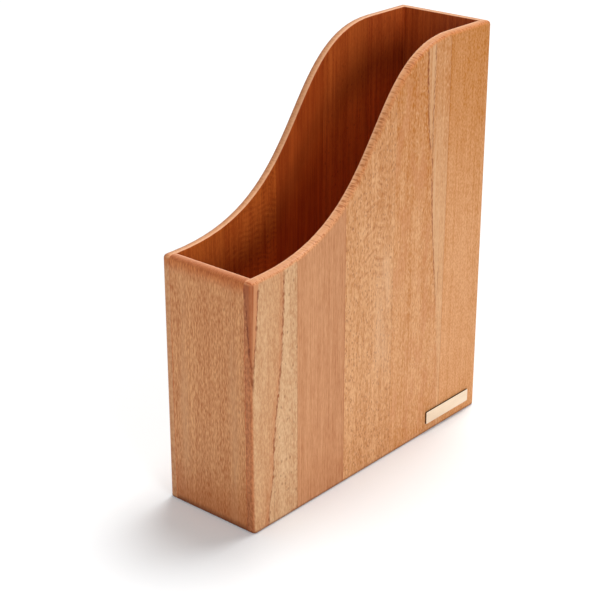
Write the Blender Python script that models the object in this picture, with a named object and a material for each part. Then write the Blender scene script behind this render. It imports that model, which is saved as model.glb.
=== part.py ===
"""Wooden magazine file: a tall open box whose side walls sweep down from the back to a low front.

The walls are modelled as the maker finishes them. The glued-up box is shaped and rounded as one
carcass, and each board is then the part of that carcass inside its own block of space. Hidden dowels
hold the butt joints, and a bare metal plate is stuck to the right side.

Units are metres. X runs across the box, with the right side at +X. Y runs from front to back and Z is
up. The origin is the middle of the underside.
"""

from math import pi

import bmesh
import bpy
from mathutils import Matrix, Vector

# Overall sizes of the box
WIDTH = 0.081
DEPTH = 0.260
BACK_HEIGHT = 0.310
FRONT_HEIGHT = 0.1865

# Thickness of each wall
SIDE_THICKNESS = 0.007
FRONT_THICKNESS = 0.007
BACK_THICKNESS = 0.007
BOTTOM_THICKNESS = 0.007

# Rim of the side walls: level at both ends, with one swept curve between. The levels are measured
# along the pocket, from the front and from the back board. The sweeps are the lengths of the curve's
# handles at its low and its high end.
FRONT_LEVEL = 0.002
BACK_LEVEL = 0.0385
LOW_SWEEP = 0.1345
HIGH_SWEEP = 0.0957
SWEEP_STEPS = 36

# Roundings of the finished box
OUTER_ROUND = 0.003
FOOT_ROUND = 0.0015
INNER_EASE = 0.0006
OUTER_ROUND_STEPS = 5
FOOT_ROUND_STEPS = 3
INNER_EASE_STEPS = 2

# Widths of the staves of each side wall from the front. The hindmost stave takes what is left.
RIGHT_STAVE_WIDTHS = (0.0451, 0.0504, 0.0541, 0.0616)
LEFT_STAVE_WIDTHS = (0.0540, 0.0541, 0.0508, 0.0510)
NARROWEST_STAVE = 0.015

# Thickness of a glue line between two boards
GLUE_LINE = 0.0001

# Fluted dowels and the bores that they sit in
DOWEL_DIAMETER = 0.004
DOWEL_IN_END = 0.0155
DOWEL_CHAMFER = 0.0005
FLUTE_DEPTH = 0.00025
FLUTES = 8
BORE_FIT = 0.00015
BORE_END_ROOM = 0.0005
WALL_BEHIND_BORE = 0.002

# Heights of the dowels in the front and back joints: the lowest and highest are this far from the
# bottom and the top of the board.
DOWEL_INSET = 0.035
FRONT_DOWELS = 3
BACK_DOWELS = 5

# Bare metal plate on the right side, and the film that holds it
PLATE_LENGTH = 0.054
PLATE_HEIGHT = 0.010
PLATE_THICKNESS = 0.001
PLATE_CORNER = 0.0006
PLATE_CORNER_STEPS = 4
PLATE_CHAMFER = 0.0002
PLATE_FROM_BACK = 0.0115
PLATE_FROM_FLOOR = 0.008
FILM_THICKNESS = 0.0002
FILM_MARGIN = 0.001
FILM_SEAT = 0.0001

# How far a cutter runs past the wood that it trims, the distance within which points are equal, and
# the angles within which faces count as one flat face and as one smooth surface
PAST = 0.010
TINY = 0.00001
FLAT_ANGLE = 0.0005
SMOOTH_ANGLE = pi / 6

# Finishes: colour, roughness, metallic
RIGHT_STAVE_COLOURS = (
    (0.62, 0.33, 0.16),
    (0.56, 0.27, 0.13),
    (0.63, 0.36, 0.19),
    (0.60, 0.31, 0.14),
    (0.60, 0.31, 0.16),
)
LEFT_STAVE_COLOURS = (
    (0.60, 0.32, 0.16),
    (0.56, 0.28, 0.13),
    (0.62, 0.34, 0.17),
    (0.58, 0.30, 0.15),
    (0.61, 0.32, 0.16),
)
FRONT_COLOUR = (0.60, 0.31, 0.15)
BACK_COLOUR = (0.57, 0.29, 0.14)
BOTTOM_COLOUR = (0.59, 0.31, 0.15)
DOWEL_COLOUR = (0.68, 0.46, 0.27)
PLATE_COLOUR = (0.80, 0.76, 0.68)
FILM_COLOUR = (0.75, 0.74, 0.70)
WOOD_ROUGHNESS = 0.48
DOWEL_ROUGHNESS = 0.65
PLATE_ROUGHNESS = 0.32
FILM_ROUGHNESS = 0.40

# Planes that several boards share
RIGHT_FACE = WIDTH / 2
RIGHT_INNER = RIGHT_FACE - SIDE_THICKNESS
FRONT_FACE = -DEPTH / 2
FRONT_INNER = FRONT_FACE + FRONT_THICKNESS
BACK_FACE = DEPTH / 2
BACK_INNER = BACK_FACE - BACK_THICKNESS


def clear_scene():
    for item in list(bpy.data.objects):
        bpy.data.objects.remove(item, do_unlink=True)


def new_collection(name):
    made = bpy.data.collections.new(name)
    bpy.context.scene.collection.children.link(made)
    return made


def finish(name, colour, roughness, metallic=0.0):
    """Give a material with one plain finish."""
    made = bpy.data.materials.new(name)
    made.use_nodes = True
    made.diffuse_color = (*colour, 1.0)
    shader = made.node_tree.nodes["Principled BSDF"]
    shader.inputs["Base Color"].default_value = (*colour, 1.0)
    shader.inputs["Roughness"].default_value = roughness
    shader.inputs["Metallic"].default_value = metallic
    return made


def mesh_object(name, mesh, collection):
    made = bpy.data.objects.new(name, mesh)
    collection.objects.link(made)
    return made


def bmesh_object(name, bm, collection):
    mesh = bpy.data.meshes.new(name)
    bm.to_mesh(mesh)
    bm.free()
    return mesh_object(name, mesh, collection)


def block_cutter(name, low, high, collection):
    """Make a box between two corners, to cut with."""
    bm = bmesh.new()
    bmesh.ops.create_cube(bm, size=1.0)
    size = Vector(high) - Vector(low)
    bmesh.ops.scale(bm, vec=size, verts=bm.verts)
    bmesh.ops.translate(bm, vec=(Vector(low) + Vector(high)) / 2, verts=bm.verts)
    return as_cutter(bmesh_object(name, bm, collection))


def as_cutter(item):
    item.hide_render = True
    item.display_type = "WIRE"
    return item


def cut(item, cutter, operation):
    step = item.modifiers.new(cutter.name, "BOOLEAN")
    step.operation = operation
    step.solver = "EXACT"
    step.object = cutter


def side_outline(collection):
    """Draw the side view of the box as a flat curve: its own X runs to the back, its own Y is up."""
    data = bpy.data.curves.new("side_outline", "CURVE")
    data.dimensions = "2D"
    data.fill_mode = "BOTH"
    data.extrude = WIDTH / 2
    data.resolution_u = SWEEP_STEPS
    corners = (
        (FRONT_FACE, 0.0),
        (BACK_FACE, 0.0),
        (BACK_FACE, BACK_HEIGHT),
        (BACK_INNER - BACK_LEVEL, BACK_HEIGHT),
        (FRONT_INNER + FRONT_LEVEL, FRONT_HEIGHT),
        (FRONT_FACE, FRONT_HEIGHT),
    )
    spline = data.splines.new("BEZIER")
    spline.bezier_points.add(len(corners) - 1)
    spline.use_cyclic_u = True
    for point, corner in zip(spline.bezier_points, corners):
        point.co = (*corner, 0.0)
        point.handle_left_type = "VECTOR"
        point.handle_right_type = "VECTOR"
    crest = spline.bezier_points[3]
    crest.handle_right_type = "FREE"
    crest.handle_right = crest.co - Vector((HIGH_SWEEP, 0.0, 0.0))
    dip = spline.bezier_points[4]
    dip.handle_left_type = "FREE"
    dip.handle_left = dip.co + Vector((LOW_SWEEP, 0.0, 0.0))
    made = bpy.data.objects.new("side_outline", data)
    made.rotation_euler = (pi / 2, 0.0, pi / 2)
    collection.objects.link(made)
    return made


def solid_from_curve(curve, collection):
    """Turn an extruded curve into a welded mesh object in its own place, and remove the curve."""
    bpy.context.view_layer.update()
    seen = curve.evaluated_get(bpy.context.evaluated_depsgraph_get())
    mesh = bpy.data.meshes.new_from_object(seen)
    place = curve.matrix_world.copy()
    name = curve.name
    bpy.data.objects.remove(curve, do_unlink=True)
    bm = bmesh.new()
    bm.from_mesh(mesh)
    bmesh.ops.remove_doubles(bm, verts=bm.verts, dist=TINY)
    bmesh.ops.dissolve_limit(bm, angle_limit=FLAT_ANGLE, verts=bm.verts, edges=bm.edges)
    bmesh.ops.recalc_face_normals(bm, faces=bm.faces)
    # The limited dissolve can leave an edge across a flat face, which the rounding would then take
    # for an edge of the box.
    left = [edge for edge in bm.edges if edge.calc_face_angle(pi) < FLAT_ANGLE]
    bmesh.ops.dissolve_edges(bm, edges=left)
    bm.to_mesh(mesh)
    bm.free()
    made = mesh_object(name, mesh, collection)
    made.matrix_world = place
    return made


def near(value, target):
    return abs(value - target) < TINY


def all_near(edge, axis, target):
    return all(near(vert.co[axis], target) for vert in edge.verts)


def is_foot_edge(edge):
    return all_near(edge, 2, 0.0)


def is_outer_edge(edge):
    """Tell whether an edge bounds a side face, or the top of the front or the back face."""
    if is_foot_edge(edge):
        return False
    on_side = all_near(edge, 0, RIGHT_FACE) or all_near(edge, 0, -RIGHT_FACE)
    on_front_top = all_near(edge, 1, FRONT_FACE) and all_near(edge, 2, FRONT_HEIGHT)
    on_back_top = all_near(edge, 1, BACK_FACE) and all_near(edge, 2, BACK_HEIGHT)
    return on_side or on_front_top or on_back_top


def is_pocket_rim(edge):
    """Tell whether an edge runs round the mouth of the pocket."""
    on_wall = (
        all_near(edge, 0, RIGHT_INNER)
        or all_near(edge, 0, -RIGHT_INNER)
        or all_near(edge, 1, FRONT_INNER)
        or all_near(edge, 1, BACK_INNER)
    )
    above_floor = all(vert.co.z > BOTTOM_THICKNESS + TINY for vert in edge.verts)
    faces_up = any(face.normal.z > TINY for face in edge.link_faces)
    return on_wall and above_floor and faces_up


def bevel(bm, edges, radius, steps):
    bmesh.ops.bevel(bm, geom=edges, offset=radius, segments=steps, profile=0.5, affect="EDGES")


def round_edges(bm, chosen, radius, steps):
    bevel(bm, [edge for edge in bm.edges if chosen(edge)], radius, steps)


def carcass_mesh(cutters):
    """Shape the whole glued-up box: swept outline, hollow pocket, rounded edges."""
    body = solid_from_curve(side_outline(cutters), cutters)
    pocket = block_cutter(
        "pocket",
        (-RIGHT_INNER, FRONT_INNER, BOTTOM_THICKNESS),
        (RIGHT_INNER, BACK_INNER, BACK_HEIGHT + PAST),
        cutters,
    )
    cut(body, pocket, "DIFFERENCE")
    bpy.context.view_layer.update()
    seen = body.evaluated_get(bpy.context.evaluated_depsgraph_get())
    mesh = bpy.data.meshes.new_from_object(seen)
    mesh.transform(body.matrix_world)
    mesh.name = "carcass"
    bpy.data.objects.remove(body, do_unlink=True)
    bm = bmesh.new()
    bm.from_mesh(mesh)
    round_edges(bm, is_outer_edge, OUTER_ROUND, OUTER_ROUND_STEPS)
    round_edges(bm, is_foot_edge, FOOT_ROUND, FOOT_ROUND_STEPS)
    round_edges(bm, is_pocket_rim, INNER_EASE, INNER_EASE_STEPS)
    bmesh.ops.remove_doubles(bm, verts=bm.verts, dist=TINY)
    bmesh.ops.recalc_face_normals(bm, faces=bm.faces)
    bm.to_mesh(mesh)
    bm.free()
    return mesh


def stave_edges(widths):
    """Give the front-to-back places of the stave edges, laid from the front over the whole depth."""
    edges = [FRONT_FACE]
    for width in widths:
        edge = edges[-1] + width
        if edge > BACK_FACE - NARROWEST_STAVE:
            break
        edges.append(edge)
    edges.append(BACK_FACE)
    return edges


def dowel_places():
    """Give each dowel's name, the point where its joint faces meet, and its direction into the end.

    The direction points from the wall that it is let into, towards the board whose end it enters.
    The last value is the thickness of that wall.
    """
    places = []
    joints = (
        ("front", FRONT_FACE + FRONT_THICKNESS / 2, FRONT_HEIGHT, FRONT_DOWELS),
        ("back", BACK_FACE - BACK_THICKNESS / 2, BACK_HEIGHT, BACK_DOWELS),
    )
    sides = (("right", 1, RIGHT_STAVE_WIDTHS), ("left", -1, LEFT_STAVE_WIDTHS))
    middle = BOTTOM_THICKNESS / 2
    for side, sign, widths in sides:
        inward = Vector((-sign, 0.0, 0.0))
        for end, along, height, count in joints:
            step = (height - 2 * DOWEL_INSET) / max(count - 1, 1)
            for index in range(count):
                spot = Vector((sign * RIGHT_INNER, along, DOWEL_INSET + index * step))
                places.append((f"{end}_{side}_dowel_{index + 1}", spot, inward, SIDE_THICKNESS))
        edges = stave_edges(widths)[1:-1]
        for index, (start, stop) in enumerate(zip(edges, edges[1:])):
            spot = Vector((sign * RIGHT_INNER, (start + stop) / 2, middle))
            places.append((f"bottom_{side}_dowel_{index + 1}", spot, inward, SIDE_THICKNESS))
    front_spot = Vector((0.0, FRONT_INNER, middle))
    places.append(("bottom_front_dowel", front_spot, Vector((0.0, 1.0, 0.0)), FRONT_THICKNESS))
    back_spot = Vector((0.0, BACK_INNER, middle))
    places.append(("bottom_back_dowel", back_spot, Vector((0.0, -1.0, 0.0)), BACK_THICKNESS))
    return places


def dowel_in_wall(thickness):
    return thickness - WALL_BEHIND_BORE - BORE_END_ROOM


def rod(bm, radius, low, high):
    """Add a round rod along +Z between two heights, with a side for each flute and each ridge."""
    made = bmesh.ops.create_cone(
        bm,
        cap_ends=True,
        segments=2 * FLUTES,
        radius1=radius,
        radius2=radius,
        depth=high - low,
    )
    bmesh.ops.translate(bm, vec=(0.0, 0.0, (low + high) / 2), verts=made["verts"])
    return made["verts"]


def flute(verts):
    """Draw every second line of a rod's surface inwards."""
    for vert in verts:
        turn = Vector((vert.co.x, vert.co.y)).angle_signed(Vector((0.0, 1.0)))
        if round(turn * FLUTES / pi) % 2:
            radius = vert.co.xy.length
            vert.co.xy *= (radius - FLUTE_DEPTH) / radius


def taper_ends(bm):
    """Add a short taper to both ends of a rod."""
    radius = DOWEL_DIAMETER / 2
    caps = [face for face in bm.faces if len(face.verts) == 2 * FLUTES]
    ends = bmesh.ops.extrude_discrete_faces(bm, faces=caps)["faces"]
    for end in ends:
        bmesh.ops.translate(bm, vec=end.normal * DOWEL_CHAMFER, verts=end.verts)
        share = (radius - DOWEL_CHAMFER) / radius
        bmesh.ops.scale(bm, vec=(share, share, 1.0), verts=end.verts)


def make_dowel(name, spot, direction, thickness, parts):
    """Make one fluted dowel across a joint. Its own +Z runs into the end of the board."""
    bm = bmesh.new()
    low = DOWEL_CHAMFER - dowel_in_wall(thickness)
    high = DOWEL_IN_END - DOWEL_CHAMFER
    flute(rod(bm, DOWEL_DIAMETER / 2, low, high))
    taper_ends(bm)
    bmesh.ops.recalc_face_normals(bm, faces=bm.faces)
    made = bmesh_object(name, bm, parts)
    made.location = spot
    made.rotation_euler = direction.to_track_quat("Z", "Y").to_euler()
    made.data.materials.append(finish(name, DOWEL_COLOUR, DOWEL_ROUGHNESS))
    return made


def make_bores(places, cutters):
    """Make one cutter that holds the bores of all the dowels."""
    bm = bmesh.new()
    for _, spot, direction, thickness in places:
        low = -dowel_in_wall(thickness) - BORE_END_ROOM
        high = DOWEL_IN_END + BORE_END_ROOM
        verts = rod(bm, DOWEL_DIAMETER / 2 + BORE_FIT, low, high)
        turn = direction.to_track_quat("Z", "Y").to_matrix().to_4x4()
        bmesh.ops.transform(bm, matrix=Matrix.Translation(spot) @ turn, verts=verts)
    return as_cutter(bmesh_object("dowel_bores", bm, cutters))


def make_board(name, carcass, low, high, colour, bores, parts, cutters):
    """Make one board: the carcass inside a block of space, bored for its dowels."""
    mesh = carcass.copy()
    mesh.materials.append(finish(name, colour, WOOD_ROUGHNESS))
    made = mesh_object(name, mesh, parts)
    cut(made, block_cutter(f"{name}_block", low, high, cutters), "INTERSECT")
    cut(made, bores, "DIFFERENCE")
    return made


def make_side(side, sign, widths, colours, carcass, bores, parts, cutters):
    """Make the staves of one side wall, from the front to the back."""
    across = sorted((sign * RIGHT_INNER, sign * (RIGHT_FACE + PAST)))
    edges = stave_edges(widths)
    trims = [-PAST] + [GLUE_LINE / 2] * (len(edges) - 2) + [-PAST]
    made = []
    for index in range(len(edges) - 1):
        front = edges[index] + trims[index]
        back = edges[index + 1] - trims[index + 1]
        low = (across[0], front, -PAST)
        high = (across[1], back, BACK_HEIGHT + PAST)
        name = f"{side}_side_stave_{index + 1}"
        made.append(make_board(name, carcass, low, high, colours[index], bores, parts, cutters))
    return made


def make_end_boards(carcass, bores, parts, cutters):
    """Make the front, back and bottom boards, which lie between the side walls."""
    half = RIGHT_INNER - GLUE_LINE
    top = BACK_HEIGHT + PAST
    between = (FRONT_INNER + GLUE_LINE, BACK_INNER - GLUE_LINE)
    blocks = (
        ("front_board", (FRONT_FACE - PAST, FRONT_INNER), top, FRONT_COLOUR),
        ("back_board", (BACK_INNER, BACK_FACE + PAST), top, BACK_COLOUR),
        ("bottom_board", between, BOTTOM_THICKNESS, BOTTOM_COLOUR),
    )
    made = []
    for name, (front, back), height, colour in blocks:
        low = (-half, front, -PAST)
        high = (half, back, height)
        made.append(make_board(name, carcass, low, high, colour, bores, parts, cutters))
    return made


def make_slip(name, length, height, thickness, corner, chamfer, seat, parts):
    """Make a thin upright slip on the right side, with round corners, at the plate's place."""
    middle_y = BACK_FACE - PLATE_FROM_BACK - PLATE_LENGTH / 2
    middle_z = PLATE_FROM_FLOOR + PLATE_HEIGHT / 2
    bm = bmesh.new()
    bmesh.ops.create_cube(bm, size=1.0)
    bmesh.ops.scale(bm, vec=(thickness, length, height), verts=bm.verts)
    across = [edge for edge in bm.edges if not near(edge.verts[0].co.x, edge.verts[1].co.x)]
    bevel(bm, across, corner, PLATE_CORNER_STEPS)
    if chamfer:
        shown = [edge for edge in bm.edges if all_near(edge, 0, thickness / 2)]
        bevel(bm, shown, chamfer, 1)
    made = bmesh_object(name, bm, parts)
    made.location = (RIGHT_FACE + seat + thickness / 2, middle_y, middle_z)
    return made


def make_plate(parts):
    """Make the bare plate and the film behind it."""
    film = make_slip(
        "plate_adhesive",
        PLATE_LENGTH - 2 * FILM_MARGIN,
        PLATE_HEIGHT - 2 * FILM_MARGIN,
        FILM_THICKNESS,
        PLATE_CORNER,
        0.0,
        FILM_SEAT,
        parts,
    )
    film.data.materials.append(finish("plate_adhesive", FILM_COLOUR, FILM_ROUGHNESS))
    seat = FILM_SEAT + FILM_THICKNESS + FILM_SEAT
    plate = make_slip(
        "label_plate",
        PLATE_LENGTH,
        PLATE_HEIGHT,
        PLATE_THICKNESS,
        PLATE_CORNER,
        PLATE_CHAMFER,
        seat,
        parts,
    )
    plate.data.materials.append(finish("label_plate", PLATE_COLOUR, PLATE_ROUGHNESS, metallic=1.0))
    return [film, plate]


def main():
    clear_scene()
    parts = new_collection("magazine_file")
    cutters = new_collection("cutters")
    places = dowel_places()
    carcass = carcass_mesh(cutters)
    carcass.shade_smooth()
    carcass.set_sharp_from_angle(angle=SMOOTH_ANGLE)
    bores = make_bores(places, cutters)
    made = make_side("right", 1, RIGHT_STAVE_WIDTHS, RIGHT_STAVE_COLOURS, carcass, bores, parts, cutters)
    made += make_side("left", -1, LEFT_STAVE_WIDTHS, LEFT_STAVE_COLOURS, carcass, bores, parts, cutters)
    made += make_end_boards(carcass, bores, parts, cutters)
    made += [make_dowel(*place, parts) for place in places]
    made += make_plate(parts)
    stand = bpy.data.objects.new("magazine_file_origin", None)
    parts.objects.link(stand)
    for item in made:
        item.parent = stand


main()
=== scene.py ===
from math import radians

import bmesh
import bpy
from mathutils import Matrix, Vector


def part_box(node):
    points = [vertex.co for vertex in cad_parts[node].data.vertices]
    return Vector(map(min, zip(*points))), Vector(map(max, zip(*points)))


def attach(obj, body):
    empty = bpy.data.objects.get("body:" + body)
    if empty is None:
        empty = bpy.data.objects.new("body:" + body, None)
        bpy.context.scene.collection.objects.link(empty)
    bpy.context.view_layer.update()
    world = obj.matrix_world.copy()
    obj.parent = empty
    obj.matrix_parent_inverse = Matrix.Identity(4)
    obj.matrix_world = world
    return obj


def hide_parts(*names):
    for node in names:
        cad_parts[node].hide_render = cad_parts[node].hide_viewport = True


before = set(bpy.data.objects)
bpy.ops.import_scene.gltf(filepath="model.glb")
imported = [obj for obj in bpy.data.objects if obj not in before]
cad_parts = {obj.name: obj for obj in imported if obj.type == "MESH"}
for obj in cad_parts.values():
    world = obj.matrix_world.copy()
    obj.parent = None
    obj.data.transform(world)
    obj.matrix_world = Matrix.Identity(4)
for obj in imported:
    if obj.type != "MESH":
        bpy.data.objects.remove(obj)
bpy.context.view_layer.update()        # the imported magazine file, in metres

oneMm = 0.001            # m
nearby = oneMm / 100     # m, closer than this is the same place
pathSpan = 400.0         # mm, longer than any drawn line
sideLow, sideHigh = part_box("right_side_stave_1")
backLow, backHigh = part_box("back_board")
frontLow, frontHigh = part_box("front_board")
wall = (sideHigh.x - sideLow.x) / oneMm
rimLow = frontHigh.z / oneMm
rimHigh = backHigh.z / oneMm
print("frame loaded:", len(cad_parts), "nodes, walls of", round(wall, 2), "mm")


# one socket of a material, so that shader maths reads as plain arithmetic
class Wire:
    def __init__(self, sheet, socket):
        self.sheet = sheet
        self.socket = socket

    def math(self, operation, *others):
        return self.sheet.calc(operation, self, *others)

    def __add__(self, other):
        return self.math("ADD", other)

    def __sub__(self, other):
        return self.math("SUBTRACT", other)

    def __mul__(self, other):
        return self.math("MULTIPLY", other)

    def __truediv__(self, other):
        return self.math("DIVIDE", other)

    def __pow__(self, other):
        return self.math("POWER", other)

    def __abs__(self):
        return self.math("ABSOLUTE")

    def __rsub__(self, other):
        return self.sheet.calc("SUBTRACT", other, self)

    def __rtruediv__(self, other):
        return self.sheet.calc("DIVIDE", other, self)

    __radd__ = __add__
    __rmul__ = __mul__


# the node tree of a material or of the world
class Sheet:
    def __init__(self, owner):
        owner.use_nodes = True
        self.owner = owner
        self.tree = owner.node_tree
        self.tree.nodes.clear()

    def add(self, kind, settings=None, inputs=None, output=0):
        node = self.tree.nodes.new("ShaderNode" + kind)
        for key, value in (settings or {}).items():
            setattr(node, key, value)
        for key, value in (inputs or {}).items():
            if isinstance(value, Wire):
                self.tree.links.new(value.socket, node.inputs[key])
            else:
                node.inputs[key].default_value = value
        return Wire(self, node.outputs[output]) if node.outputs else None

    def calc(self, operation, *values):
        return self.add("Math", {"operation": operation}, dict(enumerate(values)))

    def vector(self, operation, *values, output=0):
        return self.add("VectorMath", {"operation": operation}, dict(enumerate(values)), output)

    def mix(self, factor, first, second, **settings):
        return self.add("Mix", {"data_type": "RGBA", **settings}, {0: factor, 6: first, 7: second}, 2)

    def blend(self, factor, first, second):
        return self.mix(factor, first, second)

    def span(self, factor, first, second):                 # the same, but may pass either colour
        return self.mix(factor, first, second, clamp_factor=False)

    def tint(self, factor, colour, stain):
        return self.mix(factor, colour, stain, blend_type="MULTIPLY")

    def step(self, value, start, stop):                    # smooth rise from 0 at start to 1 at stop
        settings = {"interpolation_type": "SMOOTHSTEP"}
        return self.add("MapRange", settings, {"Value": value, 1: start, 2: stop})

    def atLeast(self, least, mask):                        # a mask that never falls below the least
        return mask * (1.0 - least) + least

    def noise(self, place, lengths, detail=2.0, output=0):    # lengths: size of the pattern in mm
        scaled = self.vector("DIVIDE", place, lengths)
        return self.add("TexNoise", {}, {"Vector": scaled, "Scale": 1.0, "Detail": detail}, output)

    def cells(self, place, lengths):                       # distance to a cell's middle, and a chance
        scaled = self.vector("DIVIDE", place, lengths)
        distance = self.add("TexVoronoi", {}, {"Vector": scaled, "Scale": 1.0}, "Distance")
        colour = Wire(self, distance.socket.node.outputs["Color"])
        return distance, self.add("SeparateXYZ", {}, {0: colour})

    def path(self, value, points):                         # a line drawn through a few points, in mm
        drawn = self.add("FloatCurve", {}, {"Value": value / pathSpan})
        line = drawn.socket.node.mapping
        stops = sorted((along / pathSpan, across / pathSpan) for across, along in points)
        line.curves[0].points[0].location = stops[0]
        line.curves[0].points[1].location = stops[-1]
        for stop in stops[1:-1]:
            line.curves[0].points.new(*stop)
        line.update()
        return drawn * pathSpan

    def parts(self, vector):
        first = self.add("SeparateXYZ", {}, {0: vector})
        return [Wire(self, socket) for socket in first.socket.node.outputs]

    def placed(self, place):                               # the piece's own coordinates, in mm
        seen = self.add("TexCoord", {}, {}, "Object")
        return self.add("Mapping", {"vector_type": "TEXTURE"}, {"Vector": seen, **place})

    def facing(self, direction):                           # 1 where the surface looks that way
        normal = self.add("NewGeometry", {}, {}, "Normal")
        return self.vector("DOT_PRODUCT", normal, direction, output=1)

    def finish(self, colour, rough, height, strength, distance, others=None):
        bump = self.add("Bump", {}, {"Height": height, "Strength": strength, "Distance": distance})
        sockets = {"Base Color": colour, "Roughness": rough, "Normal": bump, **(others or {})}
        self.add("OutputMaterial", {}, {"Surface": self.add("BsdfPrincipled", {}, sockets)})
        return self.owner


def paint(red, green, blue):                               # screen colour to the shader's linear one
    def linear(level):
        share = level / 255
        return share / 12.92 if share <= 0.04045 else ((share + 0.055) / 1.055) ** 2.4
    return (linear(red), linear(green), linear(blue), 1.0)


# beech as it comes from the log: every board starts from this and changes what differs
beechLook = {
    "seed": 0.0,
    "pale": paint(221, 169, 123),
    "deep": paint(190, 128, 82),
    "tone": 0.40,                      # 0 is all pale, 1 is all deep
    "bandTone": 0.45,                  # slow change from one side of the board to the other
    "blotchTone": 0.50,                # soft patches
    "columnTone": 0.15,                # streaks a few mm wide
    "fibreTone": 0.22,                 # thin streaks along the grain
    "rainTone": 0.60,                  # short fibres that break up the surface
    "rainSize": (1.8, 1.0, 3.0),       # mm, through, across and along the board
    "topShadeTone": 0.12, "footShadeTone": 0.15,     # painted shade: deeper towards the top, out of the floor's bounce, and close to the foot
    "ringTone": 0.16,                  # late wood of each year's ring
    "ringGap": 3.2,                    # mm
    "pith": (70.0, 25.0),              # mm, heart of the tree: depth behind the face, place across
    "fleckInk": 0.42,                  # rays cut across: short dark dashes on the face
    "fleckGap": (14.0, 1.9, 4.0),      # mm
    "fleckWide": 0.38,                 # share of the gap
    "spotInk": 0.0,                    # the same, but fewer and bolder
    "glintInk": 0.30,                  # the same rays where they catch the light
    "edge": None,                      # pale and deep colour of the narrow edges, if they differ
    "endPale": paint(232, 168, 122),   # end grain towards the pocket, paler from a painted highlight
    "endDeep": paint(202, 129, 78),    # end grain towards the outside, deeper from painted shade on the rounding
    "endFade": (0.90, 0.10),           # share of the wall where the painted shade starts and where it is full
    "endBright": 0.0,                  # how much less painted shade it gets on the low part of the sweep
    "rungInk": 0.90,                   # rays that cross the end grain
    "arrisShadowInk": 0.9,                    # painted contact shadow: the lower arris is painted dark
    "arrisShadowReach": (3.0, 0.5),           # mm
    "pocketShade": (0.74, 0.275, 0.082),       # painted shade: the pocket's faces are painted deep red-brown
    "joints": (),                      # glued ends of the board: axis, and 0 or 1 for its low or high end
    "seam": None,                      # mm across, the glue line to the next stave
    "seamInk": 0.70,
    "lengthwise": (0.0, 0.0, 1.0), "crosswise": (0.0, 1.0, 0.0),
    "marks": None,                     # a function that adds what only this board has
    "sweep": (),                       # mm along and across, the rim of a side wall
}

# what all boards share: sizes and gaps are mm through, across and along the board
woodRange = {
    "seedShift": (37.0, 53.0, 410.0),      # mm from one seed's wood to the next
    "warp": 2.4, "warpSize": (60.0, 45.0, 240.0),    # mm that the grain wanders
    "ringWobble": 0.8, "ringSize": (7.0, 7.0, 130.0),
    "lateCurve": 3.0, "lateEnd": (1.0, 0.93),    # share of a year: late wood builds up and ends sharply
    "yearShare": 0.6,                      # how much whole years differ, as a share of the ring tone
    "bandSize": (30.0, 11.0, 420.0),
    "blotchSize": (20.0, 7.0, 14.0),
    "columnSize": (6.0, 3.0, 150.0), "columnRange": (0.30, 0.70),
    "fibreSize": (1.8, 1.2, 40.0), "fibreRange": (0.32, 0.68),
    "rainRange": (0.30, 0.70),
    "hairSize": (0.40, 0.32, 9.0), "hairTone": 0.25,
    "pocketTones": (0.25, 0.30, -0.25),    # column and fibre show more in the pocket, and rain less
    "fleck": paint(144, 80, 44),
    "crowdSize": (30.0, 12.0, 70.0), "crowdRange": (0.25, 0.65), "crowdLeast": 0.35,
    "glint": paint(240, 196, 150), "glintShift": (31.0, 17.0, 23.0),
    "spotGap": (14.0, 3.4, 5.0), "spotShift": (67.0, 29.0, 41.0), "spotWide": 0.30,
    "dashLeast": 0.04, "dashCore": 0.35,   # share of the gap for the thinnest dash, and of a dash in full ink
    "poreGap": (0.9, 0.55, 3.6), "poreReach": (0.26, 0.10), "poreChance": (0.45, 0.75), "poreInk": 0.22,
    "topShadeReach": (130.0, 300.0), "footShadeReach": (45.0, 4.0),    # mm up, where the painted shade deepens the tone
    "edgeSlant": (0.45, 0.90),             # how far a face turns to become a narrow edge
    "endTilt": (0.10, 0.75), "endInk": 0.85,    # how far it turns to become end grain
    "endRain": 0.25, "endHair": 0.4,
    "endLow": (235.0, 190.0),              # mm up, the low part of the sweep
    "rungGap": (20.0, 1.25, 1.4), "rungRange": (0.50, 0.62),
    "rungDepth": (0.3, 0.8), "rungOuter": 0.75,    # share of the wall, and the ink on its outer side
    "rungTilt": (0.98, 0.80), "rungLevel": 0.4,    # boldest where the rim cuts aslant
    "rungOil": (0.62, 0.41, 0.27, 1.0),
    "lipHighlight": paint(248, 196, 156), "lipHighlightReach": (0.66, 0.88), "lipHighlightInk": 0.45,    # painted highlight along the rim next to the pocket
    "rimTint": (0.86, 0.59, 0.38, 1.0), "rimReach": (174.0, 184.0),    # the front is tinted darker and redder just below the rim
    "cornerReach": (5.0, 1.0), "cornerInk": 0.6,    # mm from the front, where the rim takes some of that tint
    "seamOil": (0.70, 0.50, 0.36, 1.0), "seamWide": 0.9,    # mm
    "skin": (0.4, 0.02),                   # mm from the inner face, where the pocket's painted shade starts and is full
    "pocketShadeReach": (36.0, 66.0), "pocketShadeFade": 0.45, "pocketShadeThin": 2.0,    # mm below the rim: the painted shade is lighter further down
    "arrisShadow": (0.32, 0.21, 0.14, 1.0),
    "roughness": 0.50, "roughHair": 0.16, "roughPore": 0.12, "roughGlint": -0.07, "roughEnd": 0.06,
    "bumpHair": 0.7, "bumpFibre": 0.2, "bumpRain": 0.2,
    "bumpPore": -0.9, "bumpFleck": -0.25, "bumpRung": -0.4,
    "bumpStrength": 0.5, "bumpDepth": 0.00006,    # m
    "shine": {"Specular IOR Level": 0.20, "Coat Roughness": 0.35}, "endCoat": 0.12,
    "glue": 0.00009,                       # m, fills the gap to the next board, so no light shines through
    "weld": 0.000002, "sharpAngle": 30,    # m, degrees
}


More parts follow.
